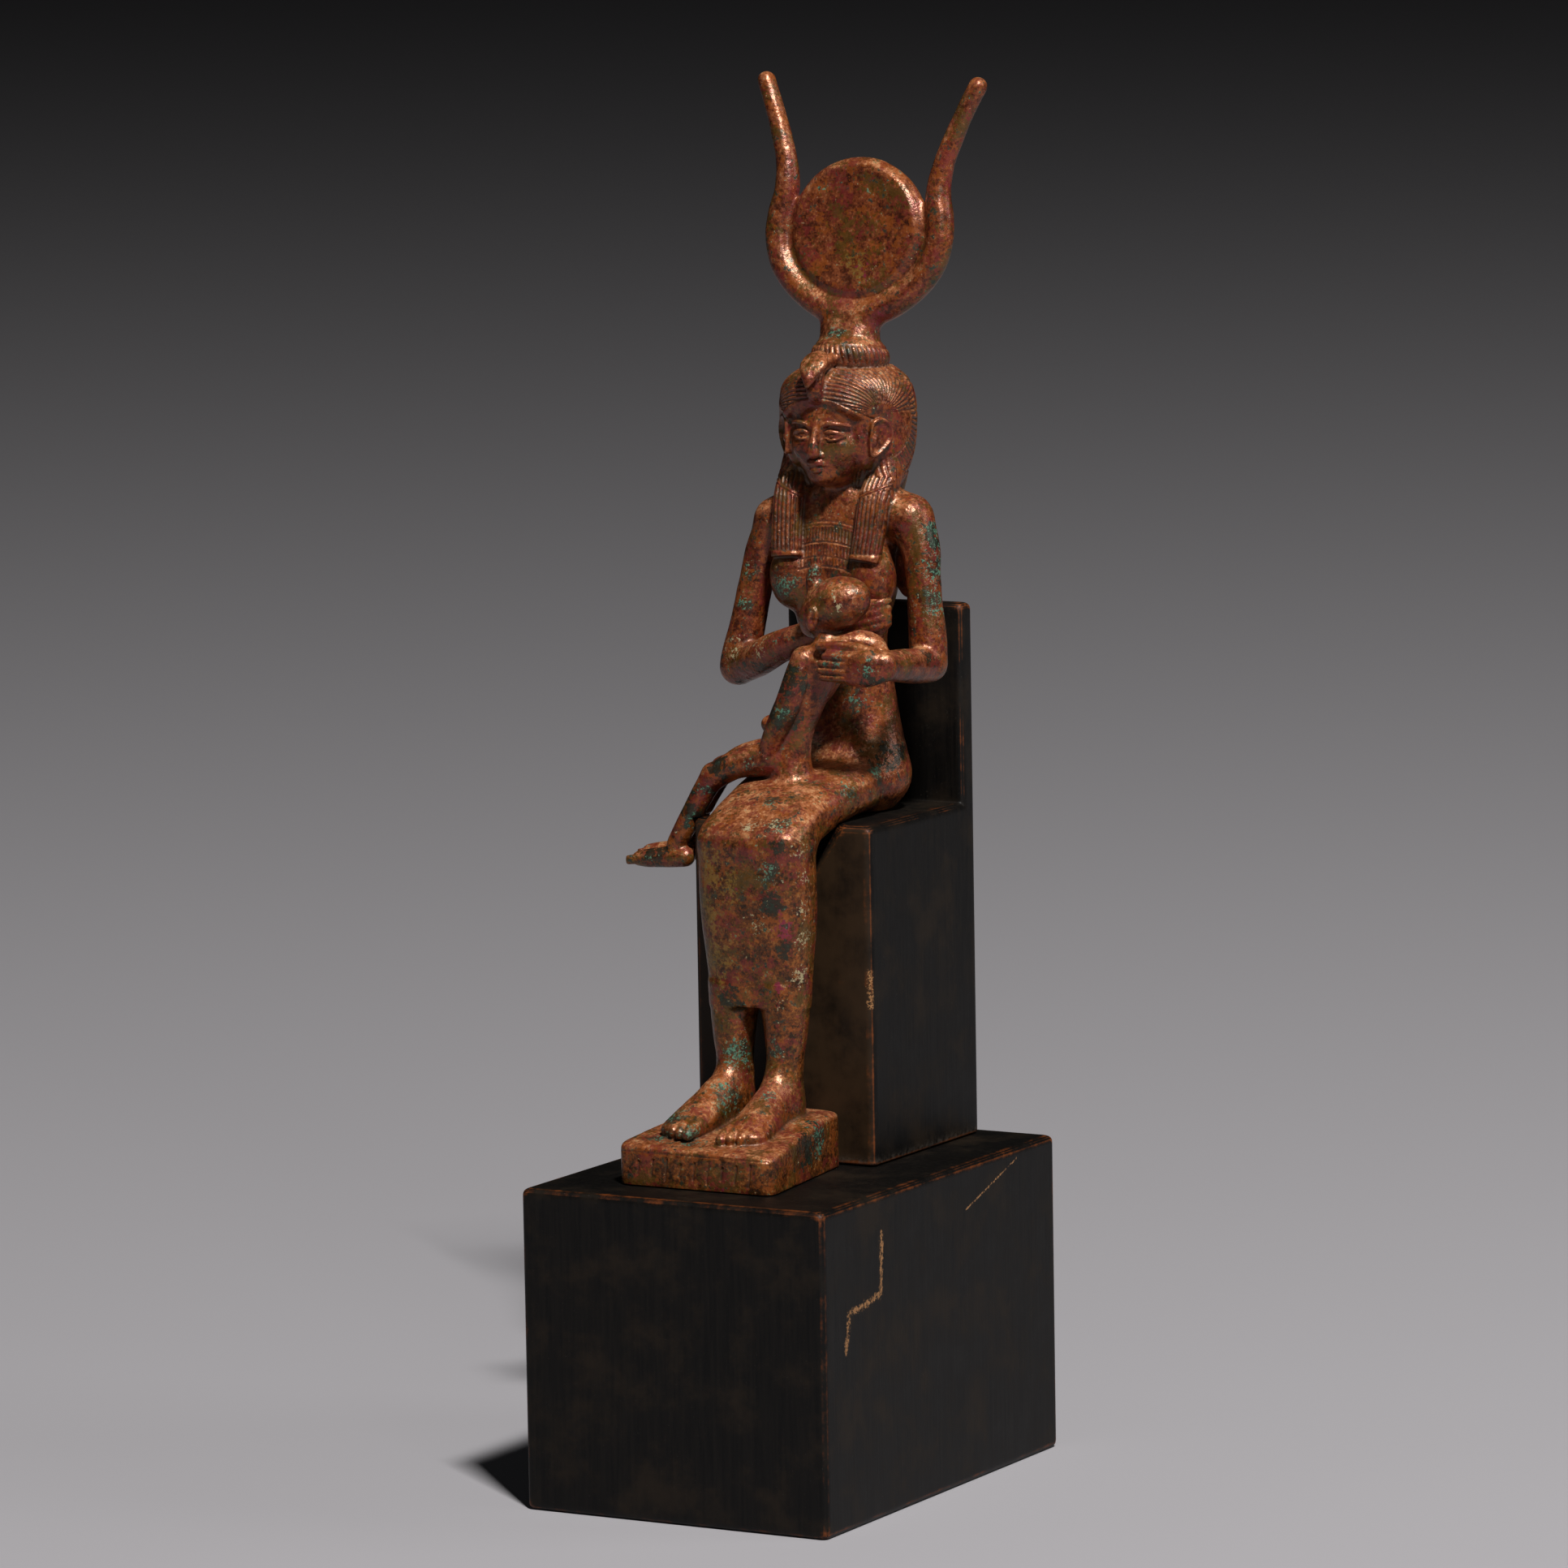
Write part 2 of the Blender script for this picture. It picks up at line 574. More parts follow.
def add_wig(casting):
    """The wig's cap, cut open round the face, its back fall and its two lappets."""
    label = LABELS["wig"]
    cap = upright([
        [0, 39.8, 164, 13, 8.4, 2.3],
        [0, 39.4, 172, 15.6, 9.6, 2.4],
        [0, 38.8, 179, 17, 13, 2.4],
        [0, 37.6, 185.5, 17.8, 18, 2.4],
        [0, 37.6, 192, 17.9, 18.8, 2.4],
        [0, 36.8, 198.4, 17.2, 17.9, 2.4],
        [0, 36.9, 202, 15.2, 15.8, 2.3],
        [0, 37.6, 204.6, 11.6, 12.2, 2.2],
    ], sides=64)
    opening = upright([
        [0, 16, 158, 7, 14, 3],
        [0, 16, 170, 9, 14, 3],
        [0, 16.6, 177, 11.4, 14, 3.4],
        [0, 17, 182, 12.6, 14.8, 4],
        [0, 16.6, 188, 12.8, 14, 3.8],
        [0, 14.4, 191.4, 12.6, 9.8, 3.4],
        [0, 12.6, 193.8, 11.6, 8.2, 3],
        [0, 11.6, 195.4, 8.6, 7.8, 3],
    ])
    found, where = casting.distances([placed(ring) for ring in cap])
    hole, hole_where = casting.distances([placed(ring) for ring in opening])
    whole_hole = np.full(casting.field.shape, casting.band * casting.voxel, np.float32)
    whole_hole[hole_where] = hole
    found = smooth_max(found, -whole_hole[where], 1.4)
    x, y, z = np.moveaxis(drawn(casting.places(where)), -1, 0)
    temple = ((np.abs(x) - EAR[0] + 0.8) * math.sin(WIG_TURN) - (y - EAR[1] + 0.6) * math.cos(WIG_TURN)
              - 9 * smoothstep(3, -3, x) - 7 * smoothstep(WIG_TEMPLE_Z, WIG_TEMPLE_Z + 13, z))
    found = smooth_max(found, temple, 3).astype(np.float32)
    casting.melt(found, where, 0.35, label)
    sweep = [
        [15.6, 40.4, 190, 2.4, 5.4],
        [15.5, 39.4, 184, 2.9, 5.6],
        [15, 36.4, 179, 3.6, 5.4],
        [14.2, 33, 174.6, 4.2, 4.7],
        [13.5, 30, 170.4, 4.4, 3.7],
    ]
    for side in (-1, 1):
        casting.add(limb(on_side(sweep, side), X), blend=2.2, label=label)
    casting.add(limb([
        [0, 47.4, 182, 13.5, 6],
        [0, 46.4, 170, 12, 4.6],
        [0, 45.8, 158, 10.6, 3.4],
        [0, 45.4, 147, 10, 3],
    ], X, square=2.6, ends=(False, False)), blend=0.8, label=label)
    for side in (-1, 1):
        casting.add(limb(on_side(LAPPET, side), X, sides=40, square=2.8, ends=(True, False)), blend=0.6,
                    label=LABELS["lappet"])


def add_cobra(casting):
    """The cobra on the brow: its coil, and its spread hood with the tip bent forward and down."""
    label = LABELS["cobra"]
    casting.add(limb([
        [0, 21, 196.6, 1.8, 1.9],
        [0, 18.6, 198.4, 2.3, 2.1],
        [0, 19, 201.8, 2.3, 2.1],
        [0, 21, 205.2, 2.1, 2.1],
        [0, 28, 206.8, 2, 1.8],
    ], X), blend=0.8, label=label)
    casting.add(limb([
        [0, 22, 208.8, 1.6, 1],
        [0, 20, 208.2, 3.3, 1.3],
        [0, 17.8, 206.2, 4, 1.4],
        [0, 15.8, 203.6, 2.9, 1.2],
        [0, 14.4, 200.8, 0.8, 0.7],
    ], X), blend=0.6, label=label)
    casting.add(limb([
        [0, 20.4, 208.9, 0.5, 0.5],
        [0, 16.8, 206.4, 0.6, 0.6],
        [0, 14.4, 202.8, 0.4, 0.5],
    ], X, sides=12), blend=0.9, label=label)


# Crown: a ribbed ring on the wig, a stem, the horns and the disc, all leaning back
CROWN_LEAN = 0.137
CROWN_FOOT = np.array([0, 38.4, 204.2])
CROWN_RISING = np.array([0, math.sin(CROWN_LEAN), math.cos(CROWN_LEAN)])
CROWN_BACK = np.array([0, math.cos(CROWN_LEAN), -math.sin(CROWN_LEAN)])
DISC_RADIUS = 19.4
WEB_RADIUS = 20.5
DISC_HEIGHT = 38
DISC_BACK = -0.6


def on_crown(x, back, height):
    """A point of the leaning crown: to the side, behind its middle and above its foot."""
    return CROWN_FOOT + X * x + Y * back + CROWN_RISING * height


def add_crown(casting):
    """The ring, the stem, both horns, the disc and the thin web behind it."""
    ring = [[9, -3], [9.4, -1.2], [10.2, 0.6], [10.9, 2.4], [10.7, 4.2], [9.8, 5.7], [8.6, 6.8], [7, 7.6]]
    casting.add([oval(on_crown(0, 0, height), X, CROWN_BACK, radius, radius, sides=56)
                 for radius, height in smooth_rows(ring, 28)], blend=0.6, label=LABELS["ring"])
    label = LABELS["crown"]
    casting.add(limb([
        [*on_crown(-0.4, 0, 5), 9, 7.6],
        [*on_crown(-0.6, 0, 8.2), 8.8, 6.6],
        [*on_crown(-0.6, 0, 11.2), 9, 5.6],
        [*on_crown(-0.4, 0, 14.8), 10, 4.4],
    ], X, ends=(False, False)), blend=1, label=label)
    horn = [
        [0, 0, 14, 4.2],
        [8.6, 0, 16, 4],
        [16.4, 0.1, 20.4, 3.8],
        [22.2, 0.2, 26.6, 3.8],
        [24.9, 0.3, 33.8, 3.8],
        [24.8, 0.5, 41, 3.8],
        [23.6, 0.7, 48, 3.5],
        [24.6, 0.9, 56, 3],
        [27.6, 1.2, 65, 2.7],
        [30.6, 1.5, 72.4, 2.6],
        [33, 1.8, 77.6, 2.6],
    ]
    path = [[*on_crown(*row[:3]), row[3], row[3]] for row in horn]
    for side in (1, -1):
        casting.add(limb(on_side(path, side)), blend=1.6, label=label)
    web = [[1, 1], [1.06, 0.5], [1.06, -0.6], [1, -1.1]]
    casting.add([oval(on_crown(0, 0.4, DISC_HEIGHT - 3) - CROWN_BACK * half, X, CROWN_RISING,
                      WEB_RADIUS * part, WEB_RADIUS * part, sides=72) for part, half in web],
                blend=2, label=label)
    profile = [[0.3, 1.9], [0.7, 2.1], [0.87, 2.5], [0.94, 2.4], [0.985, 1.6], [1, 0.7]]
    profile = [*profile, *[[part, -half] for part, half in reversed(profile)]]
    casting.add([oval(on_crown(0, DISC_BACK, DISC_HEIGHT) - CROWN_BACK * half, X, CROWN_RISING,
                      DISC_RADIUS * part, DISC_RADIUS * part * 0.96, sides=72) for part, half in profile],
                blend=3.3, label=label)


def add_child(casting):
    """The child across the lap, facing the figure's right."""
    label = LABELS["child"]

    def melt(rings, blend):
        casting.add(rings, blend=blend, label=label)

    melt(limb([
        [-0.4, 6.4, 93.6, 6.4, 6.2],
        [-0.6, 6.6, 100, 5.2, 5.4],
        [1, 7, 107, 4.7, 4.4],
        [4, 7.2, 114, 5.1, 4.2],
        [6.8, 7.4, 120, 5.6, 4.4],
        [9.4, 7.8, 126.6, 7, 4.6],
        [10.4, 7.8, 130.6, 4.8, 3.8],
        [9.8, 7.8, 134.4, 3.7, 3.5],
    ]), 1.6)
    melt(limb([
        [5.2, 3.6, 127.8, 3, 3],
        [11.6, 6.4, 130, 3.6, 3.4],
        [18, 9.6, 132, 3.8, 3.4],
        [23, 11, 131, 3.2, 2.8],
        [25.6, 9, 127.4, 2.2, 2],
    ]), 1.6)
    melt(limb([
        [25, 9.4, 129.2, 2.6, 2.7],
        [23.6, 11.6, 126, 3, 2.9],
        [21.4, 14, 122.8, 3, 2.8],
    ]), 1.2)
    head_y = 8
    melt(lump([12.6, head_y, 142.4], [10.3, 7.1, 7.2], [0, -0.38, 0], sides=32, levels=20), 1)
    melt(lump([6.2, 7.8, 138.2], [4.6, 5.4, 5], [0, 0.2, 0]), 2)
    melt(lump([4.7, 7.8, 135.2], [2.2, 2.8, 1.8]), 1.6)
    melt(limb([[3.2, head_y, 140, 0.6, 0.8], [1.9, head_y, 138.4, 0.9, 0.9]], sides=12), 0.5)
    melt(lump([2.9, head_y, 136.6], [0.8, 1.5, 0.45], sides=12, levels=8), 0.35)
    melt(lump([3.2, head_y, 135.7], [0.8, 1.4, 0.45], sides=12, levels=8), 0.35)
    for side in (-1, 1):
        casting.cut(lump([2.9, head_y + side * 2.9, 140.4], [1, 1.3, 0.8], sides=12, levels=8), 0.6)
        melt(lump([3.9, head_y + side * 3, 140.2], [1, 1.2, 0.6], sides=12, levels=8), 0.3)
        melt(lump([8.8, head_y + side * 6.9, 139], [1.9, 1.3, 3.5], [0, 0.1, 0]), 0.4)
        dish = lump([9.4, head_y + side * 8.2, 139.4], [0.9, 0.9, 2.3], [0, 0.1, 0], sides=16, levels=10)
        casting.cut(dish, 0.3)
    topknot = [
        [6.4, head_y, 145.4, 2.8, 2.8],
        [5.6, head_y, 149, 2.2, 2.2],
        [6.2, head_y, 151.6, 1.6, 1.6],
    ]
    melt(limb(topknot, ends=(False, True)), 0.8)
    melt(limb([
        [5.2, 2.8, 127.4, 3.3, 3.4],
        [3.8, 1.2, 121.4, 3.7, 3.6],
        [1.4, 0.8, 115, 3.7, 3.6],
        [-2, 1, 108.4, 3.3, 3.3],
        [-5.2, 2.2, 102, 3, 3],
    ]), 1)
    melt(limb([
        [11, 13.8, 127, 3.2, 3.3],
        [4, 15.4, 117, 2.9, 3],
        [-4, 14.6, 110.4, 2.6, 2.7],
        [-10.4, 12, 107.6, 2.5, 2.6],
    ]), 1)
    thigh = [
        [-3, 4.6, 98.4, 3.8, 4.2],
        [-8, 3, 99, 4.3, 4.5],
        [-15.5, 2.4, 97.5, 3.9, 4],
        [-22, 2, 94, 3.5, 3.6],
    ]
    shin = [
        [-22.6, 1.9, 94.2, 3.5, 3.5],
        [-26.4, 1.7, 88, 3.1, 3.2],
        [-30.4, 1.5, 81, 2.9, 3],
        [-34.2, 1.3, 74.6, 2.6, 2.7],
    ]
    foot = [
        [-31.4, 1.2, 71.4, 2.8, 2.8],
        [-37, 1.2, 71, 2.9, 2.9],
        [-42.6, 1.2, 70.4, 3.1, 2.6],
        [-45.4, 1.2, 70.2, 3, 2.2],
    ]
    near_leg, far_leg = (0, 0, 0), (-0.6, 6.4, 1)
    for shift in (near_leg, far_leg):
        for rows in (thigh, shin, foot):
            melt(limb(shifted(rows, shift)), 1)
        for toe in range(5):
            across = -2.1 + 1.05 * toe
            reach = (-48.4, -48.2, -47.8, -47.2, -46.6)[toe]
            rows = [[-44, 1.2 + across, 70.4, 0.7, 1.4], [reach, 1.2 + across, 69.8, 0.7, 1.3]]
            melt(limb(shifted(rows, shift), sides=12, density=4), 0.25)


def smooth_max(a, b, blend):
    """The larger of two values, rounded where they are within blend of each other."""
    near = np.maximum(blend - np.abs(a - b), 0) / blend
    return np.maximum(a, b) + near * near * blend / 4


# Foot plinth: wider in front, higher at the heels and on the figure's right, with worn edges
PLINTH_FRONT_Y = THRONE_FRONT_Y - REST_GAP - PLINTH_DEPTH


def plinth_top(x, y):
    """The height of the plinth's top, which climbs to the heels and to the figure's right."""
    rise = PLINTH_RISE * np.clip((y - PLINTH_FRONT_Y) / (PLINTH_DEPTH * 0.7), 0, 1)
    return BRONZE_LOW[2] + PLINTH_HEIGHT + rise - PLINTH_FALL * (x - THRONE_CENTRE_X) / PLINTH_WIDTH


def add_plinth(casting):
    """The plinth's block, with its upright corners rounded more than its rims."""
    low = np.array([THRONE_CENTRE_X - PLINTH_WIDTH, PLINTH_FRONT_Y - 4, BRONZE_LOW[2] - 2])
    high = np.array([THRONE_CENTRE_X + PLINTH_WIDTH, THRONE_FRONT_Y + 4, BRONZE_LOW[2] + 24])
    where, _ = casting.block(low, high)
    x, y, z = casting.axes(where)
    along = np.clip((y - PLINTH_FRONT_Y) / PLINTH_DEPTH, 0, 1)
    half = (PLINTH_WIDTH + (PLINTH_REAR_WIDTH - PLINTH_WIDTH) * along) / 2
    sides = np.abs(x - THRONE_CENTRE_X) - half
    ends = np.abs(y - PLINTH_FRONT_Y - PLINTH_DEPTH / 2) - PLINTH_DEPTH / 2
    walls = smooth_max(sides, ends, 4.5)
    found = smooth_max(walls, z - plinth_top(x, y), 1.8)
    found = np.maximum(found, BRONZE_LOW[2] - z)
    casting.melt(found.astype(np.float32), where, 1.1, LABELS["plinth"])


def throne_distance(x, y, z, edge=WOOD_EDGE):
    """The distance to the throne's surface, with its edges rounded over edge millimetres."""
    centre = (THRONE_LOW + THRONE_HIGH) / 2
    half = (THRONE_HIGH - THRONE_LOW) / 2
    sides = smooth_max(np.abs(x - centre[0]) - half[0], np.abs(y - centre[1]) - half[1], edge)
    seat = smooth_max(sides, z - SEAT_TOP, edge)
    back = smooth_max(smooth_max(sides, z - THRONE_HIGH[2], edge), THRONE_BACK_Y - y, edge)
    both = smooth_max(np.minimum(seat, back), THRONE_LOW[2] - z, edge * 0.5)
    floor = SEAT_TOP - HOLLOW_DEPTH * np.clip(1 - (y - THRONE_FRONT_Y) / HOLLOW_RUN, 0, 1)
    rim = (z - floor) / HOLLOW_DEPTH
    width = HOLLOW_FLOOR_WIDTH + (HOLLOW_TOP_WIDTH - HOLLOW_FLOOR_WIDTH) * rim
    hollow = smooth_max(np.abs(x - THRONE_CENTRE_X) - width / 2, (floor - z) * 0.75, 1)
    hollow = np.maximum(hollow, y - THRONE_FRONT_Y - HOLLOW_RUN)
    return smooth_max(both, -hollow, edge)


def cut_for_throne(casting):
    """Leaves the bronze flat where it rests on the throne."""
    where, _ = casting.block(THRONE_LOW - 4, THRONE_HIGH + 4)
    found = throne_distance(*casting.axes(where), REST_EDGE) - REST_GAP
    casting.carve(found.astype(np.float32), where, 0.4)


# Carving: how far the finished surface is pushed out, in millimetres, so a groove is below 0

def line(off, depth, width):
    """A groove along the places where off is 0."""
    return -depth * np.exp(-(off / width) ** 2)


def furrows(place, pitch, depth, width):
    """Grooves at every pitch along place."""
    return line(np.abs(place / pitch - np.round(place / pitch)) * pitch, depth, width)


def segment_distance(points, start, end):
    """How far each point is from the line between two places."""
    start, end = np.array(start, float), np.array(end, float)
    run = end - start
    share = np.clip((points - start) @ run / (run @ run), 0, 1)
    return np.linalg.norm(points - start - share[:, None] * run, axis=1)


# The strands fan out from a point at each temple, as far as the first radius. Short locks reach the second.
FAN_Y = 27.5
FAN_Z = 193
FAN_RADIUS = 13
TIER_RADIUS = 18.5


def wig_carving(p):
    """Strands fan out from each temple, end in a tier of short locks, and fall straight at the back."""
    x, y, z = p.T
    up, back = z - FAN_Z, y - FAN_Y
    radius = np.hypot(up, back)
    angle = np.arctan2(up, back)
    azimuth = np.arctan2(y - 37, x)
    over_brow = z - 195.2 + 0.03 * x * x
    above_ear = smoothstep(-1.25, -1.1, angle)
    fan = smoothstep(2.2, 4, radius) * smoothstep(FAN_RADIUS, FAN_RADIUS - 0.6, radius)
    fan *= smoothstep(-0.15, 0.15, angle)
    fan *= np.maximum(smoothstep(1.7, 2.3, over_brow), smoothstep(27, 29, y))
    fan *= np.maximum(smoothstep(2.2, 3.4, np.abs(x)), smoothstep(29, 31, y))
    tier = smoothstep(FAN_RADIUS + 0.3, FAN_RADIUS + 0.8, radius) * above_ear
    tier *= smoothstep(TIER_RADIUS - 0.3, TIER_RADIUS - 0.7, radius)
    behind = smoothstep(TIER_RADIUS + 0.3, TIER_RADIUS + 0.9, radius)
    below = smoothstep(-1.15, -1.3, angle) * smoothstep(19, 18.4, radius) * smoothstep(182, 178, z)
    push = furrows(angle * 10, 1.25, 0.5, 0.33) * fan
    push += furrows(angle * 16, 1.4, 0.62, 0.36) * tier
    push += furrows(azimuth * 17, 1.4, 0.3, 0.3) * np.maximum(behind, below)
    push += furrows(z, 8, 0.25, 0.35) * behind
    push += line(over_brow - 2, 0.35, 0.3) * smoothstep(28, 27, y)
    for rim in (FAN_RADIUS, TIER_RADIUS):
        push += line(radius - rim, 0.3, 0.3) * above_ear
    return push


def lappet_carving(p):
    """Upright strands, a slanting double tie and a thick cut end."""
    x, y, z = p.T
    rows = np.array([[14.2, 33.6, 177], *(row[:3] for row in LAPPET)])[::-1]
    centre_x = np.interp(z, rows[:, 2], rows[:, 0])
    centre_y = np.interp(z, rows[:, 2], rows[:, 1])
    off = np.abs(x) - centre_x
    off += np.sign(off) * np.maximum(0, y - centre_y + 1.2) * (np.abs(off) > 3)
    over_tie = z - 170.6 - 0.42 * (np.abs(x) - 12.6)
    push = furrows(off + 0.6, 1.35, 0.52, 0.32) * smoothstep(6, 5.2, np.abs(off))
    push *= smoothstep(154.3, 154.9, z) * smoothstep(179, 176.5, z)
    push *= smoothstep(0.6, 0.9, np.abs(over_tie - 0.4))
    push += line(z - 154.4, 0.3, 0.35)
    for strand in (0, 0.9):
        push += line(over_tie - strand, 0.3, 0.22)
    return push


def collar_carving(p):
    """A broad collar of ruled rows, each filled with short upright strokes."""
    x, y, z = p.T
    sagging = z + 0.02 * x * x
    push = line(sagging - 162.6, 0.25, 0.25) + line(sagging - 161.6, 0.18, 0.22)
    for top, bottom in ((161, 157.6), (156.3, 153.6), (152.7, 151)):
        row = smoothstep(bottom - 0.2, bottom + 0.1, sagging) * smoothstep(top + 0.2, top - 0.1, sagging)
        push += furrows(x, 1, 0.36, 0.24) * row
    for height in (157, 153.1, 150.4):
        push += line(sagging - height, 0.34, 0.26)
    return push * smoothstep(8.6, 8, np.abs(x)) * smoothstep(31, 30, y)


RING_RADIUS = 10.4
RIB_COUNT = 40


def ring_carving(p):
    """Upright ribs round the crown's ring, under a ruled line."""
    off = p - CROWN_FOOT
    height = off @ CROWN_RISING
    azimuth = np.arctan2(off @ CROWN_BACK, off[:, 0])
    inside = smoothstep(0.2, 1, height) * smoothstep(5.6, 5, height)
    pitch = 2 * math.pi * RING_RADIUS / RIB_COUNT
    ribs = furrows(azimuth * RING_RADIUS + 0.3 * height, pitch, 0.42, 0.36)
    return ribs * inside + line(height - 5.5, 0.2, 0.3)


STROKE_COUNT = 9


def stroke_carving(points):
    """One row of plain strokes across the plinth's front, which spell nothing."""
    run = PLINTH_WIDTH * 0.8
    middle = BRONZE_LOW[2] + PLINTH_HEIGHT * 0.46
    nearest = np.full(len(points), 9.0)
    for i in range(STROKE_COUNT):
        x = THRONE_CENTRE_X - run / 2 + run * (i + 0.5) / STROKE_COUNT
        reach = PLINTH_HEIGHT * (0.16 + 0.06 * (i % 3))
        lean = 0.3 + 0.1 * (i % 2)
        ends = [x - lean, PLINTH_FRONT_Y, middle - reach], [x + lean, PLINTH_FRONT_Y, middle + reach]
        nearest = np.minimum(nearest, segment_distance(points, *ends))
    rules = np.minimum(np.abs(points[:, 2] - BRONZE_LOW[2] - PLINTH_HEIGHT * 0.86), 9)
    ruled = line(rules, 0.2, 0.26) * (points[:, 1] < PLINTH_FRONT_Y + 1.2)
    return line(nearest, 0.45, 0.34) + ruled


def relief(points, label):
    """How far the surface is pushed out at each point, in millimetres."""
    p = drawn(points)
    push = 0.1 * noise(points, 6, 1) + 0.05 * noise(points, 2.6, 2)
    for name, carving in (("wig", wig_carving), ("lappet", lappet_carving), ("ring", ring_carving)):
        chosen = label == LABELS[name]
        push[chosen] += carving(p[chosen])
    chosen = (label == LABELS["skin"]) & (p[:, 2] > 148) & (p[:, 2] < 165) & (p[:, 1] < 32)
    push[chosen] += collar_carving(p[chosen])
    chosen = label == LABELS["plinth"]
    push[chosen] += stroke_carving(points[chosen])
    return push


def normals_of(points, quads):
    """The outward direction at each point, averaged over its faces."""
    across = points[quads[:, 2]] - points[quads[:, 0]]
    along = points[quads[:, 3]] - points[quads[:, 1]]
    facing = np.cross(across, along)
    total = np.zeros_like(points)
    for corner in range(4):
        for axis in range(3):
            total[:, axis] += np.bincount(quads[:, corner], facing[:, axis], len(points))
    return total / np.maximum(np.linalg.norm(total, axis=1), 1e-9)[:, None]


def mesh_piece(name, points, quads, triangles):
    """A smooth mesh of the points, thinned to a number of triangles, that rides on the part."""
    mesh = bpy.data.meshes.new(name)
    mesh.vertices.add(len(points))
    mesh.vertices.foreach_set("co", (points * MM).ravel())
    mesh.loops.add(quads.size)
    mesh.loops.foreach_set("vertex_index", quads.ravel())
    mesh.polygons.add(len(quads))
    mesh.polygons.foreach_set("loop_start", np.arange(0, quads.size, 4))
    mesh.update(calc_edges=True)
    piece = bpy.data.objects.new(name, mesh)
    bpy.context.scene.collection.objects.link(piece)
    thinning = piece.modifiers.new("Thinning", "DECIMATE")
    thinning.ratio = min(1, triangles / (2 * len(quads)))
    bpy.context.view_layer.objects.active = piece
    bpy.ops.object.modifier_apply(modifier=thinning.name)
    piece.data.shade_smooth()
    return piece


def points_of(piece):
    """The piece's points, in the object's millimetres."""
    found = np.empty(len(piece.data.vertices) * 3)
    piece.data.vertices.foreach_get("co", found)
    return found.reshape(-1, 3) / MM


def mark(piece, name, values):
    """Keeps a value from 0 to 1 at each point, for the material to read."""
    attribute = piece.data.attributes.new(name, "FLOAT", "POINT")
    attribute.data.foreach_set("value", np.clip(values, 0, 1).astype(np.float32))


def hollowness(casting, points, reach):
    """How deep each point sits among the metal round it: below 0 in a hollow, above 0 on a crest."""
    steps = max(1, round(reach / casting.voxel))
    total = np.zeros(len(points))
    directions = [np.array(step) - 1 for step in np.ndindex(3, 3, 3) if step != (1, 1, 1)]
    place = np.round(points / casting.voxel).astype(int) - casting.start
    last = np.array(casting.field.shape) - 1
    for direction in directions:
        there = np.clip(place + np.round(direction / np.linalg.norm(direction) * steps).astype(int), 0, last)
        total += casting.field[there[:, 0], there[:, 1], there[:, 2]]
    return total / len(directions) / reach


def near_spots(points, spots):
    """1 at the middle of each spot of x, y, z and radius, falling to 0 at its edge."""
    found = np.zeros(len(points))
    for x, y, z, radius in spots:
        away = np.linalg.norm(points - (x, y, z), axis=1)
        found = np.maximum(found, smoothstep(radius, radius * 0.25, away))
    return found


# Places of the patina, in millimetres: x, y, z and how far each patch reaches
SPOTS = {"green": [
    (-13.1, 24, 242.7, 7), (-25.8, 28.5, 247.8, 4), (-27.8, 27.2, 237.7, 4), (28.8, 33.6, 258.2, 7),
    (30.4, 32.7, 249.5, 7), (30.7, 29.5, 240.9, 7), (27.6, -2.2, 226.4, 4), (18, -2.8, 228.3, 4),
    (6.6, 7.2, 249.3, 5), (8.1, 26.2, 212.4, 5), (15.7, 7.1, 190.4, 5), (15.9, 22.8, 194.1, 6),
    (8.3, -18.3, 183.7, 5), (1.6, -10.7, 188.6, 4), (-5.5, -17.6, 120.1, 8), (-4.7, -25.7, 110.2, 9),
    (-14, -39.6, 106.2, 6), (-15.7, -43.4, 100.4, 7), (-5.6, -45.5, 102.2, 7), (18.2, -18.8, 98.4, 8),
    (6.7, -19.9, 123.4, 4), (9.4, -28.1, 111.1, 5), (6.5, -22.4, 171.5, 6), (-29.8, -0.7, 181.2, 4),
    (-24.5, -0.7, 189.4, 4), (-10.4, -0.5, 197.9, 4), (0.6, -1.5, 211.9, 4), (0, 34.1, 312, 5),
], "flake": [
    (14, -17.6, 177.9, 5), (14.5, -16.4, 170, 5), (14.5, -15.8, 161.1, 5), (13.9, -16, 152.2, 5),
    (12.9, -16.7, 143.4, 5), (8.3, -18.3, 183.7, 5), (0.1, -19.4, 183.4, 5), (3.6, -22.2, 156.9, 5),
    (-29.7, 25.5, 225.4, 6), (-18.3, 19.1, 226.6, 6), (14.9, 2.4, 244.2, 3), (16.8, 2.2, 241.6, 3),
    (8.7, -18.6, 134.5, 4),
], "dark": [
    (9.8, -21.2, 178.2, 5), (17.3, 29.7, 197.8, 8), (32.6, 23.3, 226, 6), (19.3, -26.7, 97.6, 9),
    (18.2, -18.8, 98.4, 9), (28.8, 33.6, 258.2, 8), (30.4, 32.7, 249.5, 8), (3, 0, 221, 8), (0, 0.5, 212, 8),
    (-20.7, 18, 219, 9), (-27, 28, 219, 7), (-41.4, 0.4, 171, 9), (-30, 0.4, 184, 9), (-20, 1, 196, 7),
    (27, 0, 222, 6), (-6, -20, 136, 6), (8, -21.6, 163, 6), (11, -21, 150, 5),
], "magenta": [
    (9, -21.4, 157.1, 7), (4.2, 39.3, 330.5, 6), (-6, -22, 165, 7), (10, -21, 140, 6),
], "ochre": [
    (-12.1, -19.5, 144.5, 14), (-8, -21, 170, 14), (2.9, 39.4, 331.6, 8), (-12, -20, 160, 12),
]}


